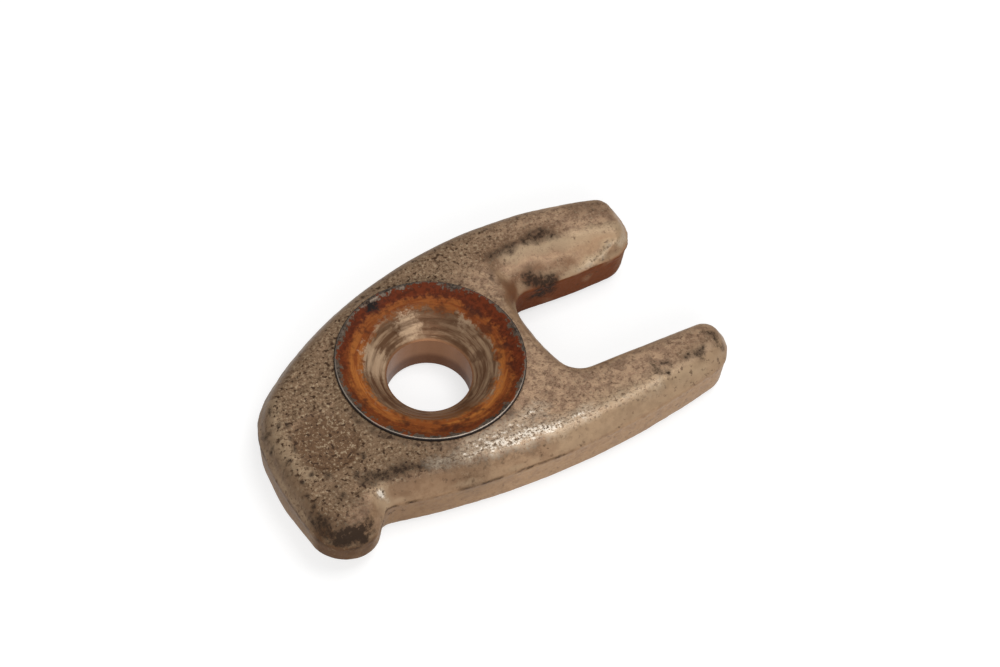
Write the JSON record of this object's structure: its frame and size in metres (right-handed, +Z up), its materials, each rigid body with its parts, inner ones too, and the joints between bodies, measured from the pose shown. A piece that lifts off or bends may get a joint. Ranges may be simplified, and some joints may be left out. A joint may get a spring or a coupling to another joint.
{
  "type": "fuel injector holder",
  "caption": "Forged steel clamp whose open fork holds a fuel injector down, with a bolt hole in a dished washer seat and a rounded lug at one corner of the tail.",
  "frame": {"origin": "on the bolt hole's axis, in the plane of the flat underside", "axes": "+X towards the fork's open end, +Y towards the left prong, +Z up the bolt hole towards the washer seat"},
  "size_m": [0.0504, 0.0308, 0.0075],
  "materials": {
    "forged_steel": "as-forged, dull grey-brown oxide with rust in the washer seat"
  },
  "bodies": {
    "root": {"clamp_body": "forged_steel"}
  },
  "joints": []
}
